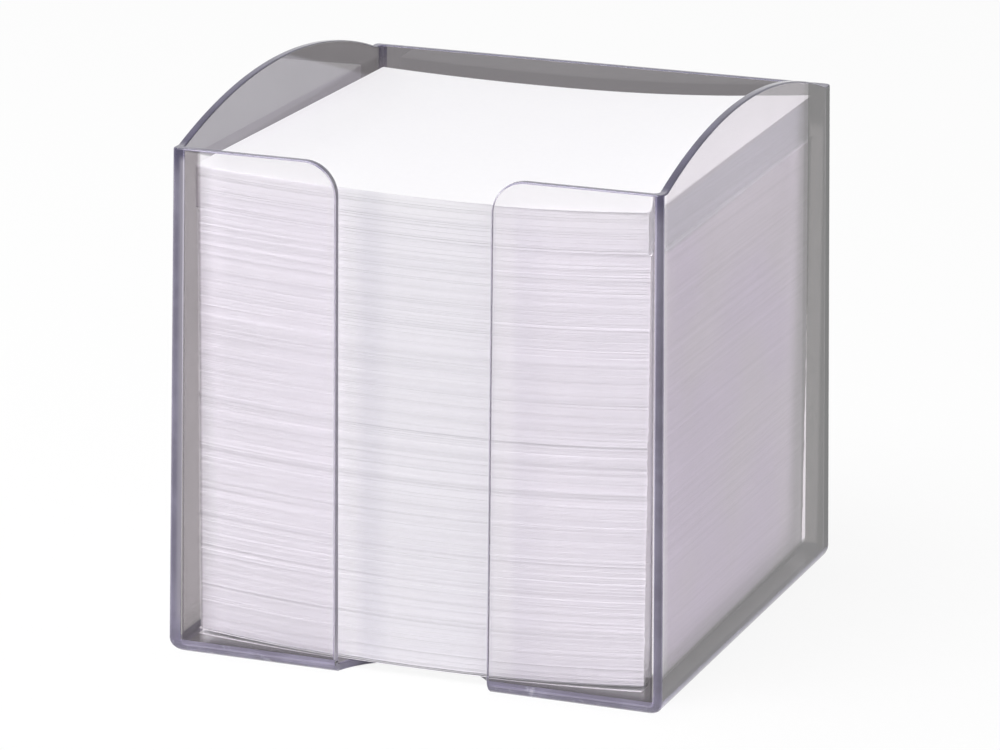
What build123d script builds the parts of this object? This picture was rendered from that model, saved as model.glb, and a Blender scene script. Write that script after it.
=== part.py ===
import os
from math import radians, sin, sqrt, tan

from build123d import *

os.makedirs("parts", exist_ok=True)

# Notes: loose square sheets that lie in the box as a slightly dished stack
note_size = 89.0
sheet_thickness = 0.1
dish_sag = 2.0
loose_sag = 1.2
bottom_count = 2
lower_count = 10
middle_count = 9
top_count = 2
air_gap = 0.15
hand_jitter = 0.12
jitter_turn = 2.4
stack_shift = 0.4
top_shift = 0.3
proud_shift = 0.7
stray_shift = 0.8

# Play between the notes and the inside of the rim, and from the top note up to the front panels' tops
side_play = 1.75
front_play = 1.6
back_play = 4.7
fill_gap = 5.15

# Box: one clear moulding with drafted walls
draft_angle = 0.88
rim_wall = 1.6
foot_wall = 1.9
floor_thickness = 1.6
front_height = 98.2
crest_rise = 6.7
crest_shift = 1.9
arch_radius = 163.0
back_drop = 0.6
corner_radius = 1.0
inner_radius = 1.0
foot_radius = 3.0
floor_radius = 0.9
rim_blend = 5.0

# Finger slot between the front panels, and the thumb notch in the floor below it
slot_width = 30.4
slot_flare = 6.5
notch_depth = 13.0

# Sizes that follow from the values above
margin = 5.0
rise = tan(radians(draft_angle))
crest_height = front_height + crest_rise
back_height = front_height - back_drop
rim_inner_width = note_size + 2 * side_play
rim_inner_depth = note_size + front_play + back_play
rim_width = rim_inner_width + 2 * rim_wall
rim_depth = rim_inner_depth + 2 * rim_wall
foot_width = rim_width + 2 * crest_height * rise
foot_depth = rim_depth + 2 * crest_height * rise
foot_inner_width = foot_width - 2 * foot_wall
foot_inner_depth = foot_depth - 2 * foot_wall
note_front = -rim_inner_depth / 2 + front_play
bundle_total = bottom_count + lower_count + middle_count + top_count
single_total = 4
stack_height = front_height - fill_gap - floor_thickness
bundle_share = stack_height - single_total * (sheet_thickness + air_gap)
bundle_height = bundle_share / bundle_total - air_gap

# Box
with BuildPart() as box:
    # Drafted outside, with a little stock above the crest of the side walls
    stock_height = crest_height + margin
    stock_drop = 2 * margin * rise
    with BuildSketch(Plane.XY):
        Rectangle(foot_width, foot_depth)
    with BuildSketch(Plane.XY.offset(stock_height)):
        Rectangle(rim_width - stock_drop, rim_depth - stock_drop)
    loft(ruled=True)

    # Round foot first, then slight corners that follow the walls down and round the foot
    fillet(box.edges().group_by(Axis.Z)[0], radius=foot_radius)
    corner_edges = box.edges().filter_by(lambda edge: edge.bounding_box().size.Z > foot_radius / 2)
    fillet(corner_edges, radius=corner_radius)

    # Hollow inside: the walls are thicker at the floor than at the rim
    with BuildSketch(Plane.XY.offset(floor_thickness)):
        RectangleRounded(foot_inner_width, foot_inner_depth, inner_radius)
    with BuildSketch(Plane.XY.offset(stock_height)):
        RectangleRounded(rim_inner_width, rim_inner_depth, inner_radius)
    loft(ruled=True, mode=Mode.SUBTRACT)
    fillet(box.faces().filter_by(Plane.XY).sort_by(Axis.Z)[1].edges(), radius=floor_radius)

    # Rim: level over the front and back walls, one long arc over each side wall
    with BuildSketch(Plane.YZ) as above_rim:
        with BuildLine():
            Polyline(
                (-foot_depth, front_height),
                (crest_shift, front_height),
                (crest_shift, back_height),
                (foot_depth, back_height),
                (foot_depth, stock_height + margin),
                (-foot_depth, stock_height + margin),
                close=True,
            )
        make_face()
        with Locations((crest_shift, crest_height - arch_radius)):
            Circle(arch_radius, mode=Mode.SUBTRACT)
        arch_ends = above_rim.vertices().filter_by_position(Axis.X, 1 - foot_depth, foot_depth - 1)
        fillet(arch_ends, radius=rim_blend)
    extrude(amount=foot_width, both=True, mode=Mode.SUBTRACT)

    # Finger slot, straight down to the floor and flared into the panels' top corners
    half_slot = slot_width / 2
    with BuildSketch(Plane.XZ):
        with BuildLine():
            sill = Line((-half_slot, floor_thickness), (half_slot, floor_thickness))
            right_edge = Line(sill @ 1, (half_slot, front_height - slot_flare))
            right_flare = RadiusArc(right_edge @ 1, (half_slot + slot_flare, front_height), slot_flare)
            left_edge = Line(sill @ 0, (-half_slot, front_height - slot_flare))
            left_flare = RadiusArc(left_edge @ 1, (-half_slot - slot_flare, front_height), -slot_flare)
            Polyline(
                right_flare @ 1,
                (half_slot + slot_flare, crest_height),
                (-half_slot - slot_flare, crest_height),
                left_flare @ 1,
            )
        make_face()
    extrude(amount=foot_depth, mode=Mode.SUBTRACT)

    # Thumb notch: the slot goes on through the foot and ends in a round bite out of the floor
    notch_mouth = -foot_depth / 2 + foot_wall + floor_radius
    notch_end = -foot_depth / 2 + notch_depth
    with BuildSketch(Plane.XY.offset(-margin)):
        with BuildLine():
            bite = ThreePointArc((half_slot, notch_mouth), (0, notch_end), (-half_slot, notch_mouth))
            Polyline(bite @ 1, (-half_slot, -foot_depth), (half_slot, -foot_depth), bite @ 0)
        make_face()
    extrude(amount=margin + floor_thickness + floor_radius, mode=Mode.SUBTRACT)
box.part.label = "box"
export_step(box.part, "parts/box.step")


# A sheet or bundle follows one long arc across its width and is straight from front to back
def dish(x, sag):
    half = note_size / 2
    radius = (half**2 + sag**2) / (2 * sag)
    return radius - sqrt(radius**2 - x**2)


# Makes one node of notes from its lowest level, and returns the level of the next one
def notes(name, low, height, shift_x, shift_y, sag):
    left = shift_x - note_size / 2
    right = shift_x + note_size / 2
    left_rise = dish(left, sag)
    right_rise = dish(right, sag)
    high = low + height
    with BuildPart() as bundle:
        with BuildSketch(Plane.XZ.offset(-note_front - shift_y)):
            with BuildLine():
                under = ThreePointArc((left, low + left_rise), (0, low), (right, low + right_rise))
                over = ThreePointArc((left, high + left_rise), (0, high), (right, high + right_rise))
                Line(under @ 0, over @ 0)
                Line(under @ 1, over @ 1)
            make_face()
        extrude(amount=-note_size)
    bundle.part.label = name
    export_step(bundle.part, f"parts/{name}.step")
    return high + air_gap


# Each bundle sits a little off the one below, as hands leave them
def jitter(step):
    return hand_jitter * sin(step * jitter_turn)


def block(prefix, count, low, lean):
    level = low
    for step in range(1, count + 1):
        name = f"{prefix}_{step:02d}"
        level = notes(name, level, bundle_height, lean + jitter(step), jitter(step + count), dish_sag)
    return level


# Stack from the floor up
level = floor_thickness + air_gap
level = notes("loose_note", level, sheet_thickness, stack_shift - stray_shift, 0, loose_sag)
level = notes("stray_note", level, sheet_thickness, stack_shift - stray_shift, 0, dish_sag)
level = block("bottom_notes", bottom_count, level, stack_shift)
level = block("lower_notes", lower_count, level, stack_shift)
level = block("middle_notes", middle_count, level, stack_shift)
level = notes("proud_note", level, sheet_thickness, stack_shift + proud_shift, 0, dish_sag)
level = block("top_notes", top_count, level, stack_shift - top_shift)
notes("top_note", level, sheet_thickness, stack_shift - top_shift, 0, dish_sag)
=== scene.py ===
import math
import random

import bmesh
import bpy
from mathutils import Matrix, Vector


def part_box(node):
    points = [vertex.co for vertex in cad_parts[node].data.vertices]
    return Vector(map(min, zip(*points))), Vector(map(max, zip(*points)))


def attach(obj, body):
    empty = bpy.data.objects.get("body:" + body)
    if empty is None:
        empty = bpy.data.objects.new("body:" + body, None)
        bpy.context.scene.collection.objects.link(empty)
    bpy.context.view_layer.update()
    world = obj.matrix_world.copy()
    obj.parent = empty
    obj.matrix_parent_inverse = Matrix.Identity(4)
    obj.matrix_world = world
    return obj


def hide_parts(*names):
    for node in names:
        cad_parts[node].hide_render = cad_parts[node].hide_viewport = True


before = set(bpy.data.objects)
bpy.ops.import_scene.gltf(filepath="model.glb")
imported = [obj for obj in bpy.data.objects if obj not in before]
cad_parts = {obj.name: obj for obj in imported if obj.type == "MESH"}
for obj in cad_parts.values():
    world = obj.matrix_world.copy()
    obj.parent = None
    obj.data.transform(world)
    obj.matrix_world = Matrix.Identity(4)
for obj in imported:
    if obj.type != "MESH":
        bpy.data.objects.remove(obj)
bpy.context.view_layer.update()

MM = 0.001
scene = bpy.context.scene
rng = random.Random(71)

# Box sizes in millimetres, as in the solids
RISE = math.tan(math.radians(0.88))
RIM_INNER = (92.5, 95.3)
RIM_WALL, FOOT_WALL, FLOOR = 1.6, 1.9, 1.6
FRONT_H, CREST_H, BACK_H, STOCK_H = 98.2, 104.9, 97.6, 109.9
CORNER_R, INNER_R, FOOT_R, FLOOR_R = 1.0, 1.0, 3.0, 0.9
SLOT_HALF, SLOT_FLARE, NOTCH_D = 15.2, 6.5, 13.0
RIM_HALF = [v / 2 + RIM_WALL for v in RIM_INNER]
FOOT_HALF = [v + CREST_H * RISE for v in RIM_HALF]

# The arc over each side wall reaches from corner to corner, as in the photograph
ARCH_R, ARCH_Y, ARCH_TOP = 143.6, -1.0, 105.6
# Rounding of the crisp edges, and the strip beside a left or right corner that takes its tone
EDGE_R = 0.3
LIPS = {-1: 1.6, 1: 0.45}
# How far the cutting shapes reach: past the box, and the slot's to the back and the notch's down
REACH, MARGIN = 70.0, 10.0
SLOT_BACK, NOTCH_LOW = -30.0, -5.0

# Notes in millimetres
NOTE = 89.0
HALF = NOTE / 2
NOTE_FRONT = -RIM_INNER[1] / 2 + 1.6
NOTE_MID = NOTE_FRONT + HALF
STACK_TOP = 93.0
# How sheets lie: dished, less so towards the top, and there also raised on the right, in the back
# right corner and at the back
SAG, SAG_LOSS = 2.25, 0.4
RAISED = (0.5, 0.63, 0.48)
SHEET, PITCH, JOIN = 0.1, 3.933, 0.012
LEAVES = 36
# The uppermost bundle starts lower, to close the gap over the proud sheet
TOP_DROP = 0.13
# Turns in radians: the uppermost sheet, the block under it, and the spread among sheets
TOP_TURN, BLOCK_TURN, TURN_SPREAD = -0.009, -0.003, 0.0006
# How far sheets may stand out sideways and to the front, and how fast they drift back
OUT_X, OUT_Y, PULL = 0.5, 0.45, 0.9
# Blocks from the floor up: prefix, bundles, body, shift to the right, wander from sheet to sheet,
# step from group to group, sheets in a group
BLOCKS = (
    ("bottom_notes", 2, "bottom_block", 0.2, 0.007, 0.02, 26),
    ("lower_notes", 10, "lower_block", 0.3, 0.012, 0.035, 12),
    ("middle_notes", 9, "middle_block", 0.45, 0.010, 0.022, 8),
    ("top_notes", 2, "top_block", 0.15, 0.005, 0.008, 10),
)
# Sheets by themselves: node, body, shift to the right, shift back, turn, columns, flattening
SINGLES = (
    ("loose_note", "bottom_block", -0.4, 0.0, 0.002, 40, 0.8),
    ("stray_note", "bottom_block", -0.4, 0.0, 0.004, 40, 0.0),
    ("proud_note", "middle_block", 1.1, -0.03, BLOCK_TURN, 40, 0.0),
    ("top_note", "top_sheet", 0.15, -0.02, TOP_TURN, 60, 0.0),
)

# Plastic: clear where paper lies behind it; its bare margins carry painted shade, for darker
# surroundings seen through it
# PANEL_END, clearer than PANEL, is painted light on the shaded paper seen behind the corners
PANEL, PANEL_END = (0.932, 0.92, 0.933, 1.0), (1.0, 0.985, 1.0, 1.0)
SIDE_WARM, SIDE_COOL = (0.872, 0.815, 0.872, 1.0), (0.868, 0.796, 0.896, 1.0)
# SIDE_BACK, clearer than the side tint, is painted light on the shaded back of the stack's right
# side
SIDE_BACK = (0.985, 0.92, 0.985, 1.0)
# SIDE_HIGH is painted shade on the upper stack's right side seen through the wall, SIDE_BARE
# painted shade seen through the bare wall above the stack
SIDE_HIGH, SIDE_BARE = (0.75, 0.718, 0.78, 1.0), (0.77, 0.73, 0.77, 1.0)
# SIDE_STRIP is painted shade in a strip at the back of the right wall
SIDE_STRIP = (0.15, 0.138, 0.138, 1.0)
# LEFT_NEAR is lighter as a painted reflection of the stack's top, LEFT_FAR painted shade behind it
LEFT_NEAR, LEFT_FAR = (0.358, 0.344, 0.372, 1.0), (0.235, 0.222, 0.23, 1.0)
# LEFT_LINE darkens a painted shade line along the stack's end
LEFT_LINE = (0.80, 0.79, 0.80, 1.0)
# BACK_TOP is painted shade seen through the back wall above the stack
BACK_TOP = (0.235, 0.223, 0.232, 1.0)
# FRONT_MARGIN is painted shade seen through the front left of the stack
FRONT_MARGIN = (0.365, 0.34, 0.35, 1.0)
# FOOT_TINT is painted shade along the foot
FOOT_TINT = (0.32, 0.30, 0.33, 1.0)
# UNDER_LOW and UNDER_HIGH are painted shade low in the right wall's front corner, beside the
# stack's bottom corner
UNDER_LOW, UNDER_HIGH = (0.25, 0.232, 0.242, 1.0), (0.165, 0.152, 0.155, 1.0)
# Rims, corners and cut ends: two tones each, and what changes them by place
EDGE_PALE, EDGE_DEEP = (0.42, 0.388, 0.53, 1.0), (0.31, 0.283, 0.40, 1.0)
END_PALE, END_DEEP = (0.80, 0.77, 0.84, 1.0), (0.70, 0.67, 0.74, 1.0)
RIM_TONE, BACK_TONE = (0.42, 0.40, 0.54, 1.0), (0.62, 0.62, 0.54, 1.0)
# CORNER_INSIDE is painted light inside the front corners
CORNER_INSIDE = (0.55, 0.515, 0.62, 1.0)
# Patches of painted highlight on the foot
FOOT_HIGHLIGHT = (0.62, 0.60, 0.72, 1.0)
# What shadow rays keep on their way through a wall and through an edge
WALL_PASS, EDGE_PASS = (0.92, 0.90, 0.92, 1.0), (0.97, 0.96, 0.97, 1.0)
# Paper: faces, cut edges, and the edges' light and shade
PAPER_PALE, PAPER_DEEP = (0.91, 0.90, 0.915, 1.0), (0.88, 0.87, 0.90, 1.0)
# CUT_EDGE is painted shade on cut edges, CUT_LIT painted light on them
CUT_EDGE, CUT_LIT = (0.95, 0.932, 0.968, 1.0), (1.0, 0.995, 1.0, 1.0)
CUT_SHADE = (0.93, 0.93, 0.945, 1.0)
SIDE_LIT = (0.985, 0.975, 0.985, 1.0)
WHITE, FLOOR_GREY = (1.0, 1.0, 1.0, 1.0), (0.94, 0.94, 0.94, 1.0)


# ---------------------------------------------------------------- nodes
class Tree:
    """Short helpers for building a node tree."""

    def __init__(self, owner):
        self.nt = owner.node_tree
        self.nt.nodes.clear()

    def add(self, kind, **values):
        node = self.nt.nodes.new(kind)
        for name, value in values.items():
            setattr(node, name, value)
        return node

    def link(self, source, target):
        self.nt.links.new(source, target)

    def feed(self, socket, value):
        if isinstance(value, bpy.types.NodeSocket):
            self.link(value, socket)
        else:
            socket.default_value = value

    def math(self, op, a, b=0.0, c=0.0, clamp=False):
        node = self.add("ShaderNodeMath", operation=op, use_clamp=clamp)
        for socket, value in zip(node.inputs, (a, b, c)):
            self.feed(socket, value)
        return node.outputs[0]

    def both(self, a, b):
        """Where two masks overlap."""
        return self.math("MULTIPLY", a, b)

    def plus(self, base, share, value):
        """The base plus a share of the value."""
        return self.math("MULTIPLY_ADD", value, share, base)

    def step(self, value, low, high):
        """0 below low, 1 above high, smooth between; low may be the larger."""
        node = self.add("ShaderNodeMapRange", interpolation_type="SMOOTHSTEP")
        self.feed(node.inputs["Value"], value)
        flip = low > high
        node.inputs["From Min"].default_value = high if flip else low
        node.inputs["From Max"].default_value = low if flip else high
        node.inputs["To Min"].default_value = 1.0 if flip else 0.0
        node.inputs["To Max"].default_value = 0.0 if flip else 1.0
        return node.outputs["Result"]

    def mix(self, factor, a, b, blend="MIX"):
        node = self.add("ShaderNodeMix", data_type="RGBA", blend_type=blend)
        self.feed(node.inputs[0], factor)
        self.feed(node.inputs[6], a)
        self.feed(node.inputs[7], b)
        return node.outputs[2]

    def times(self, tint, other):
        return self.mix(1.0, tint, other, "MULTIPLY")

    def dim(self, tint, value):
        """The tint times a plain number."""
        node = self.add("ShaderNodeCombineColor")
        for socket in node.inputs:
            self.link(value, socket)
        return self.times(tint, node.outputs[0])

    def noise(self, vector, scale, detail=2.0, rough=0.5):
        node = self.add("ShaderNodeTexNoise")
        self.link(vector, node.inputs["Vector"])
        node.inputs["Scale"].default_value = scale
        node.inputs["Detail"].default_value = detail
        node.inputs["Roughness"].default_value = rough
        return node.outputs["Fac"]

    def split(self, vector):
        node = self.add("ShaderNodeSeparateXYZ")
        self.link(vector, node.inputs[0])
        return node.outputs

    def coordinates(self):
        """The place on the piece as a vector in metres, and its x, y and z in millimetres."""
        place = self.add("ShaderNodeTexCoord").outputs["Object"]
        return place, [self.math("MULTIPLY", c, 1000.0) for c in self.split(place)]

    def blend(self, factor, first, second):
        node = self.add("ShaderNodeMixShader")
        self.link(factor, node.inputs[0])
        self.link(first.outputs[0], node.inputs[1])
        self.link(second.outputs[0], node.inputs[2])
        return node

    def bump(self, height, strength, distance, shader):
        node = self.add("ShaderNodeBump")
        node.inputs["Strength"].default_value = strength
        node.inputs["Distance"].default_value = distance
        self.link(height, node.inputs["Height"])
        self.link(node.outputs[0], shader.inputs["Normal"])

    def seen(self):
        """1 for rays from the camera, also mirrored or through the plastic, and 0 for the rest."""
        rays = self.add("ShaderNodeLightPath").outputs
        seen = self.math("ADD", rays["Is Camera Ray"], rays["Is Glossy Ray"], clamp=True)
        return self.math("ADD", seen, rays["Is Transmission Ray"], clamp=True)

    def end(self, shader, kind="ShaderNodeOutputMaterial"):
        self.link(shader.outputs[0], self.add(kind).inputs["Surface"])


def material(name):
    mat = bpy.data.materials.new(name)
    mat.use_nodes = True
    return mat, Tree(mat)


# ---------------------------------------------------------------- clear plastic
def end_plastic(t, place, shader, passed):
    """Slight ripples, and shadow rays pass, so that the lamps light the paper behind."""
    t.bump(t.noise(place, 45.0, 1.0), 0.05, 0.0004, shader)
    through = t.add("ShaderNodeBsdfTransparent")
    through.inputs[0].default_value = passed
    shadow = t.add("ShaderNodeLightPath").outputs["Is Shadow Ray"]
    t.end(t.blend(shadow, shader, through))


def plastic_material():
    mat, t = material("clear_plastic")
    place, (x, y, z) = t.coordinates()

    # Walls by place
    front_wall = t.step(y, -46.9, -47.5)
    back_wall = t.step(y, 46.9, 47.5)
    left_wall = t.both(t.step(x, -45.6, -46.1), t.step(y, -48.0, -47.2))
    right_side = t.step(x, 45.6, 46.1)
    right_wall = t.both(right_side, t.step(y, -47.4, -46.4))
    above = t.step(z, 88.0, 90.5)
    # Painted shade along the foot, near the floor
    foot = t.step(z, 4.2, 2.2)

    # Front panels: clear at the box's corners, as painted light on the shaded paper ends behind
    # them, and painted shade left of the stack
    corners = t.math("MAXIMUM", t.step(x, -36.0, -41.0), t.step(x, 45.2, 46.0))
    panel_tint = t.mix(t.both(front_wall, corners), PANEL, PANEL_END)
    margin = t.both(front_wall, t.step(x, -42.5, -42.9))

    # Right wall: how far in from its outside, so that both its faces carry a margin in line
    depth = t.math("ADD", t.plus(x, RISE, z), -FOOT_HALF[0])
    along = t.plus(y, 0.78, depth)
    # Painted shade in a strip at the back of the right wall
    strip = t.both(right_wall, t.step(along, 34.5, 35.0))
    # Painted light: clearer towards the back, where the stack's right side lies in shade
    near_back = t.both(right_wall, t.step(along, 25.0, 31.0))
    # Painted shade over the upper part of the stack's right side, and higher up where only the
    # bare wall is seen through
    right_high = t.both(right_wall, t.step(t.plus(z, -0.032, y), 88.0, 88.6))
    right_bare = t.both(right_wall, t.step(t.plus(z, -0.029, y), 96.1, 96.7))
    stress = t.step(t.noise(place, 38.0, 1.0), 0.38, 0.62)
    side_tint = t.mix(stress, SIDE_WARM, SIDE_COOL)
    # Painted shade low in the right wall's front corner, beside the bottom of the stack
    behind_front = t.both(right_side, t.step(y, -50.2, -49.4))
    under = t.both(behind_front, t.step(t.plus(z, -0.015, y), 8.3, 7.9))
    under_tint = t.mix(t.step(z, 3.0, 7.0), UNDER_LOW, UNDER_HIGH)

    # Left wall: painted shade seen through it, lighter in a painted reflection of the stack's top,
    # darker at the back and in a painted shade line where the stack ends; clear behind the panel
    far = t.step(t.plus(y, 3.2, z), 337.0, 340.0)
    left_tint = t.mix(far, LEFT_NEAR, LEFT_FAR)
    line = t.step(t.plus(z, -0.026, y), 94.6, 93.6)
    left_tint = t.mix(line, left_tint, t.times(left_tint, LEFT_LINE))
    over_panel = t.step(t.plus(z, 0.31, y), 82.5, 83.0)
    left_above = t.both(t.both(left_wall, above), over_panel)

    # Each of these covers those before it
    tint = panel_tint
    for mask, cover in (
        (right_wall, side_tint),
        (near_back, SIDE_BACK),
        (right_high, SIDE_HIGH),
        (right_bare, SIDE_BARE),
        (foot, FOOT_TINT),
        (under, under_tint),
        (margin, FRONT_MARGIN),
        (strip, SIDE_STRIP),
        (left_above, left_tint),
        # Painted shade seen through the back wall above the stack
        (t.both(back_wall, above), BACK_TOP),
    ):
        tint = t.mix(mask, tint, cover)
    tint = t.dim(tint, t.plus(0.94, 0.12, t.noise(place, 30.0, 2.0)))

    shader = t.add("ShaderNodeBsdfPrincipled")
    t.link(tint, shader.inputs["Base Color"])
    shader.inputs["Roughness"].default_value = 0.015
    shader.inputs["IOR"].default_value = 1.52
    shader.inputs["Transmission Weight"].default_value = 1.0
    end_plastic(t, place, shader, WALL_PASS)
    return mat


def edge_material(name, pale, deep, clear):
    """Rims, corners and cut ends, where light piped along the walls gathers a violet tone."""
    mat, t = material(name)
    place, (x, y, z) = t.coordinates()
    flow = t.step(t.noise(place, 140.0, 3.0), 0.35, 0.65)
    tint = t.mix(flow, deep, pale)
    tint = t.mix(t.step(z, 92.0, 97.0), tint, t.times(tint, RIM_TONE))

    # Painted light, paler towards the inside of a front corner, and greyer at the back
    reach = t.plus(t.math("ABSOLUTE", x), RISE, z)
    inward = t.step(reach, FOOT_HALF[0] - 1.2, FOOT_HALF[0] - 2.2)
    over_foot = t.step(z, 4.0, 9.0)
    shaft = t.both(over_foot, t.step(z, 97.2, 95.5))
    pale_side = t.both(t.both(inward, t.step(y, -44.0, -46.0)), shaft)
    tint = t.mix(pale_side, tint, CORNER_INSIDE)
    below_rim = t.both(over_foot, t.step(z, 97.4, 96.9))
    back = t.both(t.step(y, 40.0, 44.0), below_rim)
    tint = t.mix(back, tint, t.times(tint, BACK_TONE))

    # Painted highlights brighten the foot in patches
    patches = t.step(t.noise(place, 260.0, 4.0, 0.65), 0.56, 0.7)
    tint = t.mix(t.both(patches, t.step(z, 6.0, 2.0)), tint, FOOT_HIGHLIGHT)

    shader = t.add("ShaderNodeBsdfPrincipled")
    t.link(tint, shader.inputs["Base Color"])
    shader.inputs["Roughness"].default_value = 0.06
    shader.inputs["IOR"].default_value = 1.52
    shader.inputs["Transmission Weight"].default_value = clear
    end_plastic(t, place, shader, EDGE_PASS)
    return mat


# ---------------------------------------------------------------- paper
def paper_material(name, proud=False):
    mat, t = material(name)
    place, (x, y, z) = t.coordinates()
    geometry = t.add("ShaderNodeNewGeometry").outputs
    fibre = t.noise(place, 900.0, 4.0, 0.6)
    by_sheet = t.math("MULTIPLY", geometry["Random Per Island"], 0.55)
    shade = t.plus(by_sheet, 0.45, t.noise(place, 60.0, 2.0))
    tint = t.mix(shade, PAPER_PALE, PAPER_DEEP)

    # Cut edges carry painted shade, a little darker and cooler than the faces, least so at the top
    # of the stack where painted light lifts them
    facing_x, facing_y, facing_z = t.split(geometry["True Normal"])
    upright = t.step(t.math("ABSOLUTE", facing_z), 0.7, 0.3)
    aside = t.step(t.math("ABSOLUTE", facing_x), 0.4, 0.7)
    front = t.step(facing_y, -0.4, -0.7)
    high = t.both(front, t.step(z, 86.0, 95.0))
    # Each panel's end throws a soft light band and then a soft shadow on the paper beside it
    left_band = t.both(t.step(x, -17.2, -16.4), t.step(x, -12.2, -13.4))
    right_band = t.both(t.step(x, 14.6, 15.6), t.step(x, 20.5, 17.5))
    bands = t.both(front, t.math("MAXIMUM", left_band, right_band))
    lift = t.math("MAXIMUM", t.math("MULTIPLY", high, 0.75), t.math("MULTIPLY", bands, 0.5))
    edge_tint = t.mix(lift, CUT_EDGE, CUT_LIT)
    left_dip = t.both(t.step(x, -12.8, -10.4), t.step(x, -5.0, -9.6))
    right_dip = t.both(t.step(x, 17.6, 19.6), t.step(x, 27.0, 20.8))
    dips = t.both(front, t.plus(left_dip, 0.6, right_dip))
    edge_tint = t.mix(dips, edge_tint, t.times(edge_tint, CUT_SHADE))
    tint = t.mix(upright, tint, t.times(tint, edge_tint))

    # On the stack's sides, painted light and shade in lines along the height, as sheets standing
    # out would give
    level = t.add("ShaderNodeCombineXYZ")
    t.link(t.split(place)[2], level.inputs[2])
    lines = t.plus(0.7, 0.6, t.noise(level.outputs[0], 1000.0, 3.0, 0.6))
    tint = t.mix(aside, tint, t.dim(tint, lines))
    # They catch light through the corner just behind the front, and a proud sheet does all along
    caught = t.both(aside, 1.0 if proud else t.step(y, -38.0, -44.0))
    tint = t.mix(caught, tint, SIDE_LIT)
    tint = t.dim(tint, t.plus(0.975, 0.04, fibre))

    shader = t.add("ShaderNodeBsdfPrincipled")
    t.link(tint, shader.inputs["Base Color"])
    shader.inputs["Roughness"].default_value = 0.85
    shader.inputs["Specular IOR Level"].default_value = 0.25
    t.bump(fibre, 0.12, 0.00008, shader)
    t.end(shader)
    return mat


# ---------------------------------------------------------------- mesh helpers
def put(name, data):
    obj = bpy.data.objects.new(name, data)
    scene.collection.objects.link(obj)
    return obj


def mesh_of(name, verts, faces):
    mesh = bpy.data.meshes.new(name)
    mesh.from_pydata([[c * MM for c in v] for v in verts], [], faces)
    mesh.update()
    return mesh


def arc_points(cx, cy, radius, start, end, steps):
    points = []
    for k in range(steps + 1):
        a = math.radians(start + (end - start) * k / steps)
        points.append((cx + radius * math.cos(a), cy + radius * math.sin(a)))
    return points


def rounded_ring(half_x, half_y, radius, z, lips=None, steps=6):
    """Rectangle with round corners; lips mark off a strip beside each on the front and back."""
    ring = []
    for cx, cy, start in ((1, 1, 0), (-1, 1, 90), (-1, -1, 180), (1, -1, 270)):
        middle = (cx * (half_x - radius), cy * (half_y - radius))
        corner = [(u, v, z) for u, v in arc_points(*middle, radius, start, start + 90, steps)]
        if lips:
            strip = (cx * (half_x - radius - lips[cx]), cy * half_y, z)
            corner = corner + [strip] if cx * cy > 0 else [strip] + corner
        ring += corner
    return ring


def tower(name, rings):
    """Closed solid through a list of rings with the same number of points."""
    n = len(rings[0])
    verts = [p for ring in rings for p in ring]
    faces = [tuple(reversed(range(n))), tuple(range((len(rings) - 1) * n, len(rings) * n))]
    for r in range(len(rings) - 1):
        for k in range(n):
            a, b = r * n + k, r * n + (k + 1) % n
            faces.append((a, b, b + n, a + n))
    return put(name, mesh_of(name, verts, faces))


def prism(name, outline, to_point, low, high):
    """Closed solid from a flat outline, pushed from low to high along the third direction."""
    n = len(outline)
    verts = [to_point(u, v, w) for w in (low, high) for u, v in outline]
    faces = [tuple(range(n)), tuple(reversed(range(n, 2 * n)))]
    faces += [(k + n, (k + 1) % n + n, (k + 1) % n, k) for k in range(n)]
    obj = put(name, mesh_of(name, verts, faces))
    bm = bmesh.new()
    bm.from_mesh(obj.data)
    bmesh.ops.recalc_face_normals(bm, faces=bm.faces)
    bm.to_mesh(obj.data)
    bm.free()
    return obj


def cut(obj, tool):
    mod = obj.modifiers.new(tool.name, "BOOLEAN")
    mod.operation = "DIFFERENCE"
    mod.solver = "EXACT"
    mod.object = tool


# ---------------------------------------------------------------- box
def outside():
    """The drafted outside with its round foot, and stock above the rim."""

    def ring(z, inset):
        half_x, half_y = (v - inset - z * RISE for v in FOOT_HALF)
        return rounded_ring(half_x, half_y, CORNER_R, z, LIPS)

    rings = []
    for k in range(7):
        a = math.radians(15 * k)
        rings.append(ring(FOOT_R * (1 - math.cos(a)), FOOT_R * (1 - math.sin(a))))
    return tower("box_body", rings + [ring(STOCK_H, 0)])


def hollow():
    """The inside, with a small round at the floor; the walls it leaves are thicker there."""
    low = [v - FOOT_WALL for v in FOOT_HALF]
    high = [v / 2 for v in RIM_INNER]

    def ring(z, inset):
        share = (z - FLOOR) / (STOCK_H - FLOOR)
        half_x, half_y = (a + (b - a) * share - inset for a, b in zip(low, high))
        return rounded_ring(half_x, half_y, INNER_R - inset, z)

    rings = []
    for k in range(5):
        a = math.radians(22.5 * k)
        rings.append(ring(FLOOR + FLOOR_R * (1 - math.cos(a)), FLOOR_R * (1 - math.sin(a))))
    return tower("box_hollow", rings + [ring(STOCK_H + 2, 0)])


def above_rim():
    """Level over the front and back, one long arc over the sides that ends at the corners."""
    low = ARCH_TOP - ARCH_R
    front, back = (math.degrees(math.acos((h - low) / ARCH_R)) for h in (FRONT_H, BACK_H))
    far, top = FOOT_HALF[1] + MARGIN, STOCK_H + MARGIN
    outline = [(-far, FRONT_H)]
    outline += arc_points(ARCH_Y, low, ARCH_R, 90 + front, 90 - back, 60)
    outline += [(far, BACK_H), (far, top), (-far, top)]
    return prism("box_lid", outline, lambda u, v, w: (w, u, v), -REACH, REACH)


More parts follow.
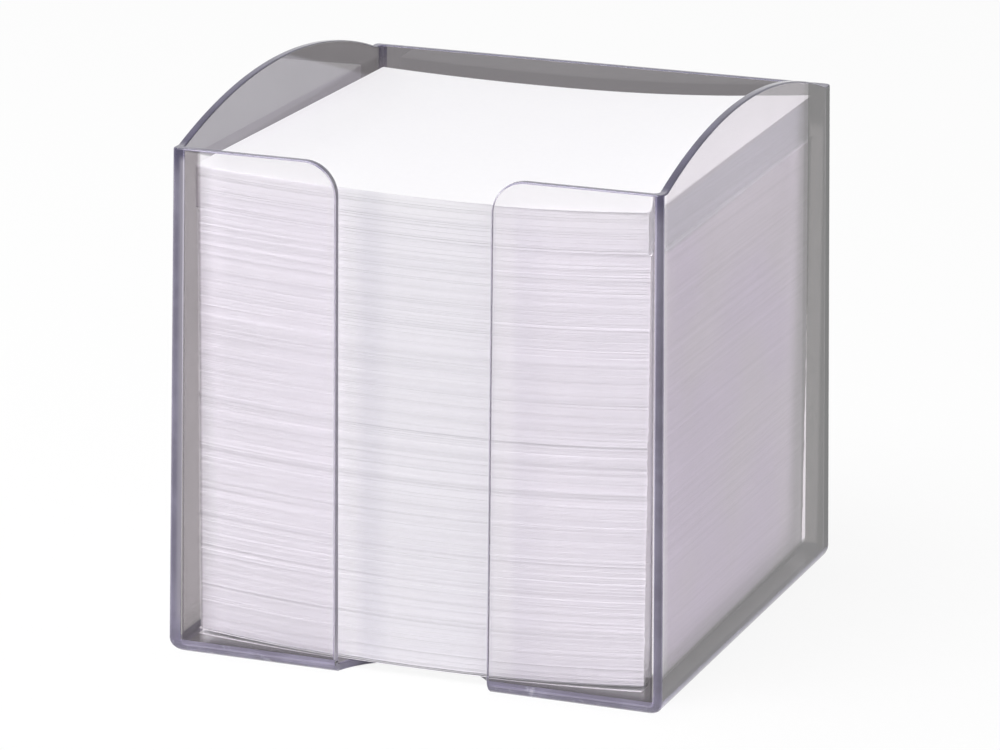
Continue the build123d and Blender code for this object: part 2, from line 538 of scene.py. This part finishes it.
def finger_slot():
    """Straight down to the floor, and flared into the panels' top corners."""
    flare_x, flare_z = SLOT_HALF + SLOT_FLARE, FRONT_H - SLOT_FLARE
    right = [(SLOT_HALF, FLOOR + 0.5)]
    right += arc_points(flare_x, flare_z, SLOT_FLARE, 180, 90, 14)
    right += [(flare_x, STOCK_H + MARGIN)]
    outline = right + [(-u, v) for u, v in reversed(right)]
    return prism("box_slot", outline, lambda u, v, w: (u, w, v), -REACH, SLOT_BACK)


def thumb_notch():
    """The slot goes on through the foot and ends in a round bite out of the floor."""
    mouth, end = FOOT_WALL + FLOOR_R - FOOT_HALF[1], NOTCH_D - FOOT_HALF[1]
    radius = (SLOT_HALF**2 + (end - mouth) ** 2) / (2 * (end - mouth))
    lean = math.degrees(math.atan2(mouth - end + radius, SLOT_HALF))
    outline = arc_points(0, end - radius, radius, lean, 180 - lean, 30)
    outline += [(-SLOT_HALF, -REACH), (SLOT_HALF, -REACH)]
    return prism("box_notch", outline, lambda u, v, w: (u, v, w), NOTCH_LOW, FLOOR + FLOOR_R)


def face_kind(c, n):
    """0 for walls, 1 for rims, corners and foot, 2 for the front rim and the slot's ends."""
    outward = n.x * c.x + n.y * c.y > 0
    in_front = c.y < -46
    slot_end = in_front and abs(c.x) < SLOT_HALF + 0.6 and abs(n.x) > 0.3 and c.z > 3
    rim = c.z > 90 and n.z > 0.25
    if slot_end or rim and in_front and abs(c.x) < RIM_INNER[0] / 2:
        return 2
    round_foot = c.z < FOOT_R and outward and -0.97 < n.z < -0.03
    notch = c.z < FLOOR and abs(n.z) < 0.3 and c.y < -30 and abs(c.x) < SLOT_HALF + 1
    lip = FOOT_HALF[0] - c.z * RISE - CORNER_R - LIPS[1 if c.x > 0 else -1]
    corner = outward and (min(abs(n.x), abs(n.y)) > 0.08 or abs(n.y) > 0.9 and abs(c.x) > lip)
    return 1 if rim or round_foot or notch or corner else 0


def make_box(mats):
    body = outside()
    tools = (hollow(), above_rim(), finger_slot(), thumb_notch())
    for tool in tools:
        cut(body, tool)
    bpy.context.view_layer.update()
    graph = bpy.context.evaluated_depsgraph_get()
    done = bpy.data.meshes.new_from_object(body.evaluated_get(graph))
    for obj in (body, *tools):
        bpy.data.objects.remove(obj)

    # Clean up after the cuts, then round the crisp edges
    bm = bmesh.new()
    bm.from_mesh(done)
    bmesh.ops.remove_doubles(bm, verts=bm.verts, dist=0.004 * MM)
    bmesh.ops.dissolve_degenerate(bm, edges=bm.edges, dist=0.002 * MM)
    bmesh.ops.recalc_face_normals(bm, faces=bm.faces)
    crisp = [e for e in bm.edges if e.calc_face_angle(0) > math.radians(40)]
    bmesh.ops.bevel(
        bm, geom=crisp, offset=EDGE_R * MM, offset_type="OFFSET", segments=3, profile=0.5,
        affect="EDGES", clamp_overlap=False,
    )
    bm.to_mesh(done)
    bm.free()

    done.materials.clear()
    for mat in mats:
        done.materials.append(mat)
    for face in done.polygons:
        face.material_index = face_kind(face.center / MM, face.normal)
    done.shade_smooth()
    done.set_sharp_from_angle(angle=math.radians(35))
    box = put("memo_box", done)
    weigh = box.modifiers.new("weigh", "WEIGHTED_NORMAL")
    weigh.keep_sharp = True
    weigh.mode = "FACE_AREA"
    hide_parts("box")
    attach(box, "box")


# ---------------------------------------------------------------- notes
def lie(x, y, level):
    """Height of a sheet at x, y when its middle lies at that level: dished, a little twisted."""
    share = level / STACK_TOP
    u, v = x / HALF, (y - NOTE_MID) / HALF
    sag = SAG - SAG_LOSS * share
    right, corner, back = RAISED
    return level + sag * u * u + share * (right * u * abs(u) + corner * u * v + back * v)


class Sheets:
    """Collects loose sheets into one mesh."""

    def __init__(self):
        self.verts, self.faces = [], []

    def add(self, level, dx, dy, turn, columns=10, flat=0.0):
        base = len(self.verts)
        for i in range(columns + 1):
            for back in (0, 1):
                x0 = -HALF + NOTE * i / columns
                y0 = NOTE_FRONT + NOTE * back
                x = dx + x0 - turn * (y0 - NOTE_MID)
                y = dy + y0 + turn * x0
                z = lie(x, y, level) - flat * (x / HALF) ** 2
                self.verts += [(x, y, z), (x, y, z + SHEET)]
        for i in range(columns):
            a = base + 4 * i
            b = a + 4
            self.faces += [
                (a, a + 2, b + 2, b),
                (a + 1, b + 1, b + 3, a + 3),
                (a, b, b + 1, a + 1),
                (a + 2, a + 3, b + 3, b + 2),
            ]
        end = base + 4 * columns
        self.faces.append((base, base + 1, base + 3, base + 2))
        self.faces.append((end, end + 2, end + 3, end + 1))

    def finish(self, name, node, body, mat):
        mesh = mesh_of(name, self.verts, self.faces)
        mesh.materials.append(mat)
        mesh.shade_smooth()
        mesh.set_sharp_from_angle(angle=math.radians(40))
        obj = put(name, mesh)
        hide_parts(node)
        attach(obj, body)


def wander(state, step):
    return state * PULL + rng.gauss(0, step)


def within(value, limit):
    return max(-limit, min(limit, value))


def make_notes(mat, proud_mat):
    drift_x = drift_y = 0.0
    step_x = step_y = 0.0
    for prefix, count, body, lean, fine, coarse, run in BLOCKS:
        block_turn = BLOCK_TURN if prefix == "top_notes" else 0.0
        until = 0
        for k in range(1, count + 1):
            node = f"{prefix}_{k:02d}"
            low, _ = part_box(node)
            level = low.z / MM
            top = level + PITCH - JOIN
            if node == "top_notes_01":
                level -= TOP_DROP
            # A few wide gaps among many narrow ones
            weights = [rng.random() ** 5 + 0.08 for _ in range(LEAVES)]
            slack = (top - level - LEAVES * SHEET) / sum(weights)
            sheets = Sheets()
            for weight in weights:
                if until <= 0:
                    until = max(2, int(rng.gauss(run, run * 0.45)))
                    step_x, step_y = rng.gauss(0, coarse), rng.gauss(0, coarse)
                until -= 1
                drift_x, drift_y = wander(drift_x, fine), wander(drift_y, fine)
                dx = within(drift_x + step_x, OUT_X) + lean
                dy = within(drift_y + step_y, OUT_Y)
                sheets.add(level, dx, dy, rng.gauss(block_turn, TURN_SPREAD))
                level += SHEET + slack * weight
            sheets.finish("leaves_" + node, node, body, mat)

    for node, body, dx, dy, turn, columns, flat in SINGLES:
        low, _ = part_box(node)
        sheets = Sheets()
        sheets.add(low.z / MM, dx, dy, turn, columns, flat)
        paper = proud_mat if node == "proud_note" else mat
        sheets.finish("leaf_" + node, node, body, paper)


# ---------------------------------------------------------------- studio
def make_floor():
    """Plain and pale: mostly white to the camera, with enough left to show the shadow."""
    mat, t = material("floor")
    diffuse = t.add("ShaderNodeBsdfDiffuse")
    diffuse.inputs[0].default_value = FLOOR_GREY
    glow = t.add("ShaderNodeEmission")
    glow.inputs[0].default_value = WHITE
    t.end(t.blend(t.math("MULTIPLY", t.seen(), 0.9), diffuse, glow))
    half, z = 4000, -0.05
    corners = [(-half, -half, z), (half, -half, z), (half, half, z), (-half, half, z)]
    mesh = mesh_of("floor", corners, [(0, 1, 2, 3)])
    mesh.materials.append(mat)
    floor = put("floor", mesh)


def make_world():
    """White where it is seen, weaker as a light."""
    world = bpy.data.worlds.new("studio")
    world.use_nodes = True
    scene.world = world
    t = Tree(world)
    back = t.add("ShaderNodeBackground")
    back.inputs[0].default_value = WHITE
    t.link(t.plus(0.4, 0.6, t.seen()), back.inputs["Strength"])
    t.end(back, "ShaderNodeOutputWorld")


def make_lamp(name, place, aim, size, power):
    data = bpy.data.lights.new(name, "AREA")
    data.shape = "SQUARE"
    data.size = size
    data.energy = power
    lamp = put(name, data)
    lamp.location = place
    lamp.rotation_euler = (Vector(aim) - Vector(place)).to_track_quat("-Z", "Y").to_euler()


def make_camera():
    """The camera fitted to the photograph: angles in degrees, places in mm, focus in pixels."""
    az, el, roll = (math.radians(a) for a in (21.045, 16.218, 0.297))
    target, distance = Vector((-1.907, 0.0, 46.281)) * MM, 1003.0 * MM
    focus, width = 5209.95, 1000.0
    back = Vector((math.sin(az) * math.cos(el), -math.cos(az) * math.cos(el), math.sin(el)))
    level = Vector((math.cos(az), math.sin(az), 0.0))
    over = back.cross(level)
    right = level * math.cos(roll) + over * math.sin(roll)
    up = over * math.cos(roll) - level * math.sin(roll)
    data = bpy.data.cameras.new("camera")
    data.sensor_width = 36.0
    data.lens = focus * data.sensor_width / width
    data.clip_end = 50.0
    cam = put("camera", data)
    turned = Matrix((right, up, back)).transposed().to_4x4()
    cam.matrix_world = Matrix.Translation(target + back * distance) @ turned
    scene.camera = cam


make_box(
    [
        plastic_material(),
        edge_material("plastic_edge", EDGE_PALE, EDGE_DEEP, 0.5),
        edge_material("plastic_end", END_PALE, END_DEEP, 0.6),
    ]
)
make_notes(paper_material("note_paper"), paper_material("note_paper_proud", proud=True))
make_floor()
make_world()
# Places, aims and sizes in metres, power in watts
make_lamp("key", (-0.28, -0.55, 1.05), (0, 0, 0.06), 0.7, 9.8)
make_lamp("side", (-0.95, -0.05, 0.5), (0, 0, 0.07), 0.6, 2.5)
make_camera()
scene.view_settings.view_transform = "Standard"
